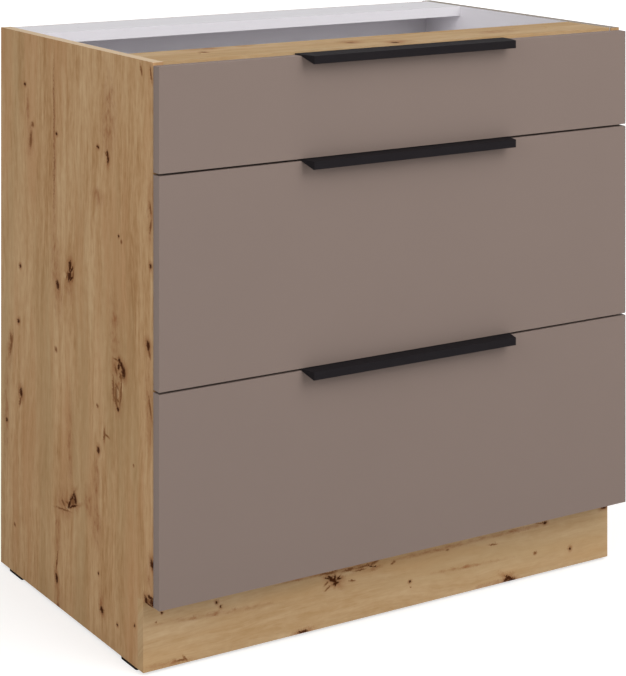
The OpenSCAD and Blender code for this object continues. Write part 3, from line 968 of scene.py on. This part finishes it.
@dataclass
class Carcass:
    """The fixed boards of the cabinet."""

    bench: Bench
    edge: float = 0.4 * MM
    least_edge: float = 15.5 * MM

    def build(self) -> None:
        """Round the boards' edges and give each its finish."""
        # The top bands are one material in two tones: the left one is painted light, a painted reflection of grazing
        # light, and the right one is painted darker grey, as painted shade.
        left = SideBoard(Oak(Board.LEFT, SIDE_WOOD, LEFT_SPOTS, 3.1), -1, EdgeBand(paint(226, 199, 165)))
        right = SideBoard(Oak(Board.RIGHT, SIDE_WOOD, RIGHT_SPOTS, 8.7), 1, EdgeBand(paint(160, 150, 140)))
        white = WhiteFoil().material("white_board")
        finishes = {
            "side_left": left.material("side_board_left"),
            "side_right": right.material("side_board_right"),
            # The plinth and the rail take the oak painted paler than the sides', as painted light.
            "rail_front": Oak(Board.RAIL, PAINTED_LIGHT_FACE_WOOD, RAIL_SPOTS, 5.3).material("front_rail"),
            "plinth_board": Oak(Board.PLINTH, PAINTED_LIGHT_FACE_WOOD, PLINTH_SPOTS, 12.9).material("plinth"),
            "rail_back": white,
            "bottom_panel": white,
            "back_panel": Hardboard().material("hardboard")}
        for node, finish in finishes.items():
            piece = self.bench.copy(node, f"{node}_board")
            self.bench.round_edges(piece, longer_than(self.least_edge), self.edge)
            self.bench.stand_in(piece, node, finish)


@dataclass
class Fronts:
    """The three lacquered fronts."""

    bench: Bench
    edge: float = 0.9 * MM
    least_edge: float = 15.5 * MM

    def build(self) -> None:
        """Round and dress each front."""
        finish = Lacquer().material("front_lacquer")
        for level in Level:
            node = f"front_{level.value}"
            piece = self.bench.copy(node, f"{node}_panel")
            self.bench.round_edges(piece, longer_than(self.least_edge), self.edge, 3)
            self.bench.stand_in(piece, node, finish)


@dataclass
class Handles:
    """The dark handles over the fronts' top edges. near is how close a corner is to the lip's front or foot."""

    bench: Bench
    edge: float = 0.35 * MM
    sharp: float = 30.0
    lip_round: float = 1.5 * MM
    near: float = 0.1 * MM

    def build(self) -> None:
        """Round and dress each handle."""
        finish = Metal(paint(35, 32, 34), (14.0, 900.0, 900.0), 0.75, metallic=0.0, depth=0.02 * MM,
                       contrast=0.3, gloss=0.03).material("dark_profile")
        for level in Level:
            node = f"handle_{level.value}"
            piece = self.bench.copy(node, f"{node}_profile")
            front = min(v.co.y for v in piece.data.vertices) + self.near
            foot = min(v.co.z for v in piece.data.vertices if v.co.y < front) + self.near
            self.bench.round_edges(piece, lambda a, b: max(a.y, b.y) < front and max(a.z, b.z) < foot,
                                   self.lip_round, 4)
            self.bench.soften(piece, self.edge, self.sharp)
            self.bench.stand_in(piece, node, finish)


@dataclass
class Screws:
    """The pan-head screws, with a cross for the driver. point is the tip's width, as a share of the shank's."""

    bench: Bench
    head_d: float = 7.0 * MM
    head_h: float = 1.2 * MM
    shank_d: float = 3.5 * MM
    length: float = 11.0 * MM
    tip: float = 3.0 * MM
    point: float = 0.15
    crown: float = 0.55 * MM
    rim: float = 0.5 * MM
    arm: float = 4.2 * MM
    slot: float = 0.95 * MM
    sink: float = 0.8 * MM
    near: float = 0.01 * MM

    def model(self) -> bpy.types.Object:
        """Model one screw.

        Returns:
            The screw, its head's seat on the origin.
        """
        bench = self.bench
        screw = bench.rod(self.head_d / 2, 0.0, self.head_h, 24)
        bench.select_faces(screw, -UP)
        bpy.ops.object.mode_set(mode="EDIT")
        bpy.ops.mesh.inset(thickness=(self.head_d - self.shank_d) / 2, depth=0.0)
        for reach, width in ((self.tip - self.length, 1.0), (-self.tip, self.point)):
            bpy.ops.mesh.extrude_region_move(TRANSFORM_OT_translate={"value": UP * reach})
            bpy.ops.transform.resize(value=(width, width, 1.0))
        bpy.ops.object.mode_set(mode="OBJECT")
        bench.round_edges(screw, lambda a, b: min(a.z, b.z) > self.head_h - self.near, self.crown, 4)
        bench.recess(screw, self.head_h, self.arm, self.slot, self.sink)
        return screw

    def seats(self, node: str) -> list[tuple[Vector, Vector]]:
        """Find where a node's screws sit, and which way their heads face.

        Args:
            node: The CAD node.

        Returns:
            For each screw, its head's seat and the way up.
        """
        found = []
        for corners, low, high in self.bench.islands(node):
            size, middle = high - low, (low + high) / 2
            axis = max(range(3), key=lambda i: size[i])
            reach = self.head_d / 2 - self.rim
            wide = [c for c in corners if (c - middle).length_squared - (c - middle)[axis] ** 2 > reach ** 2]
            up = Vector((0.0, 0.0, 0.0))
            up[axis] = 1.0 if sum(c[axis] for c in wide) / len(wide) > middle[axis] else -1.0
            found.append((middle + up * (size[axis] / 2 - self.head_h), up))
        return found

    def build(self, zinc: bpy.types.Material) -> None:
        """Put a screw at each of the CAD's screws.

        Args:
            zinc: Their material.
        """
        model = self.model()
        for node in ("panel_screws", "runner_screws", *(f"drawer_screws_{level.value}" for level in Level)):
            piece = self.bench.spread(model, f"{node}_cross", self.seats(node))
            self.bench.stand_in(piece, node, zinc)
        bpy.data.objects.remove(model)


@dataclass
class CamLocks:
    """The cams under the boards, with a rim, a cross and the bore for the bolt."""

    bench: Bench
    width: float = 15.0 * MM
    height: float = 12.5 * MM
    rim: float = 0.8 * MM
    groove: float = 0.5 * MM
    edge: float = 0.25 * MM
    sharp: float = 50.0
    arm: float = 7.0 * MM
    slot: float = 1.5 * MM
    sink: float = 4.0 * MM
    bolt: float = 7.4 * MM
    axis: float = 8.0 * MM

    def build(self, zinc: bpy.types.Material) -> None:
        """Model one cam and copy it to each bore.

        Args:
            zinc: Their material.
        """
        bench = self.bench
        cam = bench.rod(self.width / 2, -self.height, 0.0, 32)
        bench.select_faces(cam, UP)
        bpy.ops.object.mode_set(mode="EDIT")
        bpy.ops.mesh.inset(thickness=self.rim, depth=0.0)
        bpy.ops.mesh.inset(thickness=self.rim / 2, depth=-self.groove)
        bpy.ops.object.mode_set(mode="OBJECT")
        bench.soften(cam, self.edge, self.sharp)
        bench.recess(cam, -self.groove, self.arm, self.slot, self.sink)
        drill = bench.fresh(bpy.ops.mesh.primitive_cylinder_add, vertices=20, radius=self.bolt / 2,
                            depth=2 * self.width, location=UP * -self.axis, rotation=(0.0, math.pi / 2, 0.0))
        bench.cut(cam, drill)
        seats = [(Vector(((low.x + high.x) / 2, (low.y + high.y) / 2, low.z)), -UP)
                 for _, low, high in bench.islands("cam_locks")]
        bench.stand_in(bench.spread(cam, "cam_locks_cross", seats), "cam_locks", zinc)
        bpy.data.objects.remove(cam)


@dataclass
class Hardware:
    """Steel, nylon, plastic and board pieces in and under the cabinet."""

    bench: Bench
    fold: float = 0.45 * MM
    rivet: float = 0.3 * MM
    corner: float = 0.4 * MM
    dowel_end: float = 0.8 * MM
    sharp: float = 40.0

    def build(self) -> None:
        """Round, copy and dress each piece by its kind."""
        zinc = Metal(paint(196, 199, 203), (900.0, 14.0, 900.0), 0.36).material("zinc_steel")
        white = Moulded(paint(233, 233, 235), 0.38, 700.0).material("white_steel")
        nylon = Moulded(paint(238, 238, 232), 0.42, 500.0).material("roller_nylon")
        plastic = Moulded(paint(14, 11, 10), 0.7, 900.0, 0.04 * MM, 0.2, 0.03).material("dark_plastic")
        foil = WhiteFoil().material("drawer_board")
        Screws(self.bench).build(zinc)
        CamLocks(self.bench).build(zinc)
        self._round("dowels", Beech().material("beech"), self.dowel_end)
        self._round("cam_bolts", zinc, self.rivet)
        for side in ("left", "right"):
            for level in Level:
                self._round(f"runner_{level.value}_{side}", zinc, self.fold)
                self._round(f"drawer_side_{level.value}_{side}", white, self.fold)
                for end in ("front", "rear"):
                    self._round(f"roller_{level.value}_{end}_{side}", nylon, 0.0)
        for level in Level:
            self._round(f"drawer_base_{level.value}", foil, self.corner)
            self._round(f"drawer_rear_{level.value}", foil, self.corner)
            self._round(f"drawer_axles_{level.value}", zinc, self.rivet)
        self._round("runner_axles", zinc, self.rivet)
        self._round("glides", plastic, self.corner)
        self._round("plinth_brackets", plastic, self.corner)

    def _round(self, node: str, finish: bpy.types.Material, width: float) -> None:
        """Copy a node, round its sharp edges and let the copy stand for it.

        Args:
            node: The CAD node.
            finish: Its material.
            width: Width of the bevel, or 0 where the CAD's own edges stay.
        """
        piece = self.bench.copy(node, f"{node}_rounded")
        if width:
            self.bench.soften(piece, width, self.sharp)
        else:
            self.bench.shade(piece)
        self.bench.stand_in(piece, node, finish)


@dataclass(frozen=True)
class Lamp:
    """One soft square lamp: where it hangs, the point that it lights, and its power in watts."""

    name: str
    place: Point
    target: Point
    power: float
    size: float = 2.4

    def hang(self) -> None:
        """Hang the lamp in the scene."""
        data = bpy.data.lights.new(self.name, "AREA")
        data.shape, data.size, data.energy = "SQUARE", self.size, self.power
        lamp = bpy.data.objects.new(self.name, data)
        lamp.location = self.place
        lamp.rotation_mode = "QUATERNION"
        lamp.rotation_quaternion = (Vector(self.place) - Vector(self.target)).to_track_quat("Z", "Y")
        bpy.context.scene.collection.objects.link(lamp)


@dataclass
class Studio:
    """Camera, lamps, floor and surroundings.

    Sizes in px are in points of the photograph. The horizon is that far above the picture's middle. The floor
    turns from its own grey to white between the two distances of floor_fade.
    """

    focal_px: float = 2052.7
    horizon_px: float = 537.4
    side_px: float = 676.0
    middle_px: float = 313.0
    turn: float = math.radians(-31.963)
    eye: Point = (-1.6549, -2.6416, 1.1659)
    film: float = 36.0
    surround: float = 0.464
    floor_size: float = 60.0
    floor_shade: float = 0.62
    floor_glow: float = 0.6
    floor_fade: tuple[float, float] = (0.5, 2.2)
    lamps: tuple[Lamp, ...] = (
        Lamp("key", (1.0, -3.8, 2.2), (0.0, 0.0, 0.4), 50.0),
        Lamp("high_key", (1.0, -3.6, 3.4), (0.0, 0.0, 0.4), 36.0),
        Lamp("top_key", (0.6, -2.6, 4.2), (0.0, 0.0, 0.4), 24.0),
        Lamp("side_fill", (-3.8, -1.8, 2.3), (-0.4, 0.0, 0.4), 51.0))

    def axes(self) -> tuple[Vector, Vector]:
        """Return the level directions to the right of the view and ahead."""
        cos, sin = math.cos(self.turn), math.sin(self.turn)
        return Vector((cos, sin, 0.0)), Vector((-sin, cos, 0.0))

    def camera(self) -> None:
        """Stand the camera at the photograph's viewpoint, its picture plane upright."""
        right, ahead = self.axes()
        aim = ahead * self.focal_px - UP * self.horizon_px
        back = -aim.normalized()
        data = bpy.data.cameras.new("camera")
        data.sensor_width = self.film
        data.lens = aim.length * self.film / self.side_px
        eye = bpy.data.objects.new("camera", data)
        tilt = bpy.data.objects.new("camera_tilt", None)
        for obj in (eye, tilt):
            bpy.context.scene.collection.objects.link(obj)
        eye.parent = tilt
        eye.matrix_parent_inverse = Matrix((
            (right.x, UP.x, back.x, self.eye[0]), (right.y, UP.y, back.y, self.eye[1]),
            (right.z, UP.z, back.z, self.eye[2]), (0.0, 0.0, 0.0, 1.0)))
        bpy.context.scene.camera = eye

    def surroundings(self) -> None:
        """Give the room a soft white light that shows white to the camera and in reflections."""
        world = bpy.data.worlds.new("studio")
        g = Graph(world)
        strength = g.node("ShaderNodeMapRange", inputs={"Value": g.seen(), "To Min": self.surround, "To Max": 1.0})
        light = g.node("ShaderNodeBackground", inputs={"Color": (*WHITE, 1.0), "Strength": strength})
        g.add("ShaderNodeOutputWorld", inputs={"Surface": light})
        bpy.context.scene.world = world

    def floor(self) -> None:
        """Lay a pale floor that keeps the cabinet's shadow."""
        floor = Bench.fresh(bpy.ops.mesh.primitive_plane_add, size=self.floor_size, location=(0.0, 0.0, 0.0))
        floor.name = "floor"
        g = blank("floor")
        x, y, _ = g.split(g.place())
        away = g.node("ShaderNodeVectorMath", {"operation": "LENGTH"}, {0: g.join(x, y)}, 1)
        pale = g.mix(away.fade(*self.floor_fade), (self.floor_glow,) * 3, WHITE)
        shader = g.node("ShaderNodeBsdfPrincipled", inputs={
            "Base Color": (*(self.floor_shade,) * 3, 1.0), "Roughness": 1.0, "Specular IOR Level": 0.0,
            "Emission Strength": 1.0, "Emission Color": g.mix(g.seen(), (0.0, 0.0, 0.0), pale)})
        g.add("ShaderNodeOutputMaterial", inputs={"Surface": shader})
        floor.data.materials.append(g.holder)

    def build(self) -> None:
        """Set the whole studio up."""
        bpy.context.scene.view_settings.view_transform = "Standard"
        self.camera()
        self.surroundings()
        for lamp in self.lamps:
            lamp.hang()
        self.floor()


@dataclass(frozen=True)
class Sight:
    """The view of the photograph, which finds a board's marks where the picture shows them."""

    studio: Studio

    def _meet(self, px: float, py: float, face: Face) -> Vector:
        """Follow a line of sight to a board.

        Args:
            px: The picture point's distance from the left edge.
            py: Its distance from the upper edge.
            face: The board's face.

        Returns:
            Where the line of sight through that point meets the face, in metres.
        """
        studio = self.studio
        right, ahead = studio.axes()
        ray = ahead + right * ((px - studio.middle_px) / studio.focal_px)
        ray.z = (studio.side_px / 2 - studio.horizon_px - py) / studio.focal_px
        eye = Vector(studio.eye)
        return eye + ray * ((face.level - eye[face.axis]) / ray[face.axis])

    def marks(self, board: Board, mark: Mark, *rows: tuple[float, float, float, float, float]) -> tuple[Spot, ...]:
        """Turn strokes seen in the picture into marks on a board.

        Args:
            board: The board.
            mark: The kind of mark.
            rows: For each stroke, its two ends and its width, all in picture points.

        Returns:
            The marks.
        """
        face, made = board.value, []
        for x0, y0, x1, y1, width in rows:
            reach = math.hypot(x1 - x0, y1 - y0)
            dx, dy = (x1 - x0) / reach, (y1 - y0) / reach
            x, y, half = (x0 + x1) / 2, (y0 + y1) / 2, reach / 2 + width / 4
            middle = self._meet(x, y, face) / MM
            tip = self._meet(x + dx * half, y + dy * half, face) / MM - middle
            flank = self._meet(x - dy * width / 2, y + dx * width / 2, face) / MM - middle
            lean = math.atan2(-tip[face.across], tip[face.along])
            wide = abs(flank[face.across] * math.cos(lean) + flank[face.along] * math.sin(lean))
            long = math.hypot(tip[face.across], tip[face.along])
            made.append(Spot(mark, middle[face.across], middle[face.along], wide, long, lean))
        return tuple(made)


# One oak decor in two copies: the plinth's and the rail's is painted paler than the sides', as painted light for the
# stronger light that falls on those faces.
SIDE_WOOD = Wood(dark=paint(165, 124, 82), middle=paint(188, 151, 110), light=paint(201, 168, 128),
                 warm=paint(184, 139, 98), grey=paint(176, 147, 107))
PAINTED_LIGHT_FACE_WOOD = Wood(dark=paint(178, 144, 102), middle=paint(189, 158, 119), light=paint(198, 169, 132),
                 warm=paint(190, 152, 106), grey=paint(184, 157, 118))
SIGHT = Sight(Studio())

LEFT_SPOTS = (
    SIGHT.marks(
        Board.LEFT, Mark.KNOT,
        (70.6, 261.4, 69.6, 270, 2.4), (72.8, 267.6, 70.8, 271.6, 2), (70.4, 271.6, 68.8, 279.6, 3.4),
        (72.4, 277.6, 70, 280, 2), (56.9, 281.4, 58.6, 288.2, 2.8), (25, 83, 25, 85, 1.6), (56.6, 133, 56.6, 135, 1.6),
        (98, 146, 98, 148, 1.8), (107.2, 151.5, 108, 157, 1.6), (108.4, 157, 107.8, 163, 2),
        (20.3, 264.6, 20.4, 267.4, 1.6), (18.4, 319.6, 18.8, 322.4, 2), (118.5, 235.4, 118.8, 237, 1.2),
        (150.4, 264.3, 150.8, 268.4, 2), (118.8, 359, 120.2, 362.4, 2.4), (120, 361.6, 123.4, 370, 2.8),
        (123.4, 368, 123.8, 377, 3.8), (119.2, 363.8, 118, 369.2, 2.2), (118.1, 408, 118.1, 410.6, 2),
        (147.8, 341.5, 148.5, 349, 3), (20.8, 388.6, 21.6, 396, 2.6), (6.8, 418, 7, 421.6, 1.8),
        (98.6, 447.5, 98.4, 452.5, 2.2), (74.2, 493, 70.6, 500.6, 2), (70.8, 500, 68.2, 507.6, 2),
        (74.4, 494, 76, 504, 2.2), (69, 507.2, 76.4, 505.6, 2.2), (56.2, 574, 57.2, 582.5, 2.2),
        (101, 607, 102.6, 613, 2.4), (98.5, 572.6, 98.5, 574.4, 1.2), (117.4, 624, 117.4, 626, 1.2),
        (134.6, 624.6, 134.6, 626.6, 1.2), (151, 560, 152.4, 568.4, 2.4), (145.4, 597, 147, 604, 2.6),
        (148.4, 596.6, 152, 598.8, 3), (147, 605.2, 151, 606.2, 3), (151.4, 599, 151.8, 605.4, 2.6))
    + SIGHT.marks(
        Board.LEFT, Mark.BARK,
        (105.4, 153.4, 107.5, 156.4, 1.4), (32.6, 122.8, 32.6, 126, 2.2), (31.4, 132, 30.4, 146, 2),
        (68, 271, 66.6, 278, 1.6), (73.6, 272, 72.4, 280.4, 1.6), (121.3, 241, 121.5, 243.2, 1.4),
        (120, 374, 121.4, 380, 2.2), (113.2, 379, 113.6, 398, 1.7), (113.8, 396, 118, 409, 1.7),
        (121.8, 382, 120, 405, 1.4), (116, 384, 118.6, 390, 1.4), (115, 366, 117, 374, 1.5),
        (114, 358, 118, 361, 1.5), (116, 398, 119, 402, 1.5), (104.4, 430, 104, 440, 1.6),
        (105, 434, 108.6, 437.6, 1.4), (97.6, 405, 97.6, 407, 1.5), (12.4, 337, 10.2, 352, 2),
        (21, 397, 19.6, 404, 1.6), (58, 507.4, 68, 511, 1.6), (62, 499.6, 64.4, 505, 1.6), (66, 502, 70, 504, 1.4),
        (72.8, 498.5, 73, 504.5, 4.6), (116, 386, 116.4, 404, 2.4), (53.8, 78, 54.2, 140, 0.6),
        (54.2, 142, 54, 205, 0.5), (10.8, 334, 11.6, 344, 1.6),
        (57.8, 552, 56, 572, 1), (100, 609, 103.4, 610, 1.4), (148.8, 600.6, 149.2, 603, 4),
        (150, 204, 151, 214, 1.4), (151, 221, 150, 232, 1.6), (149, 398, 151.4, 418, 1.4),
        (133.6, 464.6, 133.6, 466.4, 1),
        (56, 347.6, 56, 350.8, 1.6), (148.2, 348, 150, 357, 1.8), (150.4, 68, 151.6, 80, 1.2),
        (140.6, 66, 142, 74, 1.2), (15, 523.8, 15, 525.8, 1.2), (58, 604, 58.4, 609, 2))
    + SIGHT.marks(
        Board.LEFT, Mark.SMEAR,
        (31.2, 126, 29.8, 154, 6), (109, 84, 108.6, 150, 14), (97.6, 190, 98, 204, 9), (150.4, 180, 150.4, 240, 6),
        (69.4, 262, 69.4, 296, 10), (58.4, 284, 60.6, 306, 6), (54, 230, 58, 310, 8), (54, 80, 54.6, 240, 3.6),
        (114.4, 300, 115.6, 360, 9), (115, 356, 115, 378, 9), (117, 376, 118, 412, 9), (10.8, 336, 8, 366, 6),
        (7, 366, 6, 448, 5), (63, 492, 66, 514, 14), (88, 492, 89, 514, 8), (97, 455, 96, 505, 6),
        (58, 510, 57.6, 556, 4.4), (58, 584, 58, 604, 6), (101, 592, 102, 614, 5), (149, 566, 149, 598, 6),
        (147, 602, 150, 616, 7), (148.4, 366, 149.8, 446, 6), (70, 400, 70, 480, 5), (28, 92, 28, 122, 3.4),
        (96, 500, 97, 545, 8), (122, 372, 122.4, 381, 5))
    + SIGHT.marks(Board.LEFT, Mark.PALE, (117.6, 388, 117.4, 399, 3), (122.6, 380, 122.6, 394, 1.6),
                  (64, 272, 65, 278, 3), (66, 506.6, 70, 510, 2)))

RIGHT_SPOTS = tuple(
    Spot(mark, *place) for mark, places in (
        (Mark.KNOT, ((-60, 612, 3, 9, 0.2), (-56, 602, 4, 7, -0.3), (120, 330, 4, 9, 0.1), (125, 341, 2, 6, -0.5),
                     (-180, 240, 5, 8, 0.0), (40, 720, 3, 7, 0.1), (205, 560, 3, 8, -0.1), (-20, 90, 5, 7, 0.4),
                     (-150, 700, 2, 3, 0.0), (90, 540, 2, 2, 0.0), (-90, 420, 2, 4, 0.0), (180, 180, 2, 3, 0.0))),
        (Mark.BARK, ((10, 260, 2, 2), (-215, 520, 3, 5), (150, 760, 2, 2), (60, 60, 2, 3), (230, 400, 2, 4),
                     (-52, 630, 1.5, 14, 0.1), (128, 310, 1.5, 16, -0.1), (-190, 262, 2, 12, 0.1))),
        (Mark.SMEAR, ((-60, 640, 18, 45), (122, 350, 14, 40), (-178, 270, 16, 45), (60, 470, 4, 90),
                      (200, 600, 10, 40), (-120, 120, 16, 30)))) for place in places)

PLINTH_SPOTS = (
    SIGHT.marks(
        Board.PLINTH, Mark.KNOT,
        (329, 577.2, 336.4, 582.8, 3.6), (335, 575, 335, 581.5, 2), (325.5, 578.4, 330, 578.8, 1.4),
        (336.7, 579.2, 341, 578.2, 1.8), (333.3, 584.4, 338.6, 582.2, 2.2), (336, 583, 335, 586, 1.6),
        (328, 576, 331, 578, 1.6), (339.6, 576.2, 337, 578.6, 1.4), (216.2, 602.2, 217, 602.8, 2.6),
        (220.2, 606.6, 220.9, 607.2, 2), (161.5, 612.8, 162.2, 612.8, 2), (299, 632.8, 307, 630.6, 3),
        (409.6, 581.4, 410.4, 581.5, 2.2), (504, 581, 509, 577, 3), (506, 576.4, 513, 579, 3),
        (508, 581, 514, 579.5, 3), (569.6, 548.5, 570.4, 548.5, 2.8), (544, 523, 546, 522.4, 2.6),
        (602, 508, 606, 506.5, 2.6), (368.3, 565.8, 375.8, 566.2, 1.4))
    + SIGHT.marks(
        Board.PLINTH, Mark.BARK,
        (321.7, 574.6, 335.8, 571.3, 2.2), (155.6, 622.5, 156.2, 622.5, 1.6), (176, 661, 186, 659.4, 1.8),
        (184, 657, 187, 660, 1.6), (490.5, 544.7, 496, 544, 1.3), (534.4, 553.2, 535.6, 553.1, 2.4),
        (537, 523.6, 544, 522.8, 1.4), (446.8, 550, 448.2, 549.8, 1.8), (393, 562, 394.4, 561.6, 2.2),
        (391.4, 564, 392.6, 563.8, 1.6), (371, 564.5, 377, 561.3, 1.8), (358.3, 567.9, 369.2, 564.2, 1.8),
        (350, 581.3, 354.2, 580.8, 1.3), (344, 571, 353, 568.6, 2), (326, 590, 330, 586, 1.2),
        (356, 571, 364, 569, 1.4), (410.4, 586.8, 411, 586.9, 1.2), (328, 582, 325, 585, 1.4))
    # The smears in the band just under the fronts' lower edge, from 276 to 545 across the picture, are painted shade
    # where the fronts overhang the plinth. The other smears are the oak's own.
    + SIGHT.marks(
        Board.PLINTH, Mark.SMEAR,
        (338, 570, 380, 561.5, 9), (316, 575, 340, 570, 4), (276, 584, 324, 573, 4), (366, 571, 378, 568, 3.4),
        (400, 558.4, 470, 542, 4), (470, 541, 545, 524, 4), (150, 668, 188, 659, 5), (476, 588, 502, 581.6, 4),
        (328, 577, 342, 583, 12), (170, 622, 260, 606, 4), (440, 572, 500, 560, 3))
    + SIGHT.marks(Board.PLINTH, Mark.PALE, (341, 575, 353, 572, 3), (331.6, 580, 333, 580.6, 1)))

RAIL_SPOTS = (
    SIGHT.marks(Board.RAIL, Mark.KNOT, (392, 42.6, 398, 42.2, 1.2))
    + SIGHT.marks(Board.RAIL, Mark.BARK, (348, 42.4, 353, 43, 1.2), (202, 52.4, 206, 52, 1.2))
    + SIGHT.marks(Board.RAIL, Mark.SMEAR, (184, 50.4, 220, 47.6, 3), (342, 41.6, 362, 42.6, 3),
                  (384, 42, 410, 41, 3), (480, 33, 512, 30.6, 3), (236, 46.6, 252, 45, 2)))


def main() -> None:
    """Build the cabinet's looks round the frame."""
    logging.basicConfig(level=logging.INFO, format="%(name)s: %(message)s")
    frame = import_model()
    bench = Bench(frame)
    SIGHT.studio.build()
    Carcass(bench).build()
    Fronts(bench).build()
    Handles(bench).build()
    Hardware(bench).build()


if __name__ == "__main__":
    main()
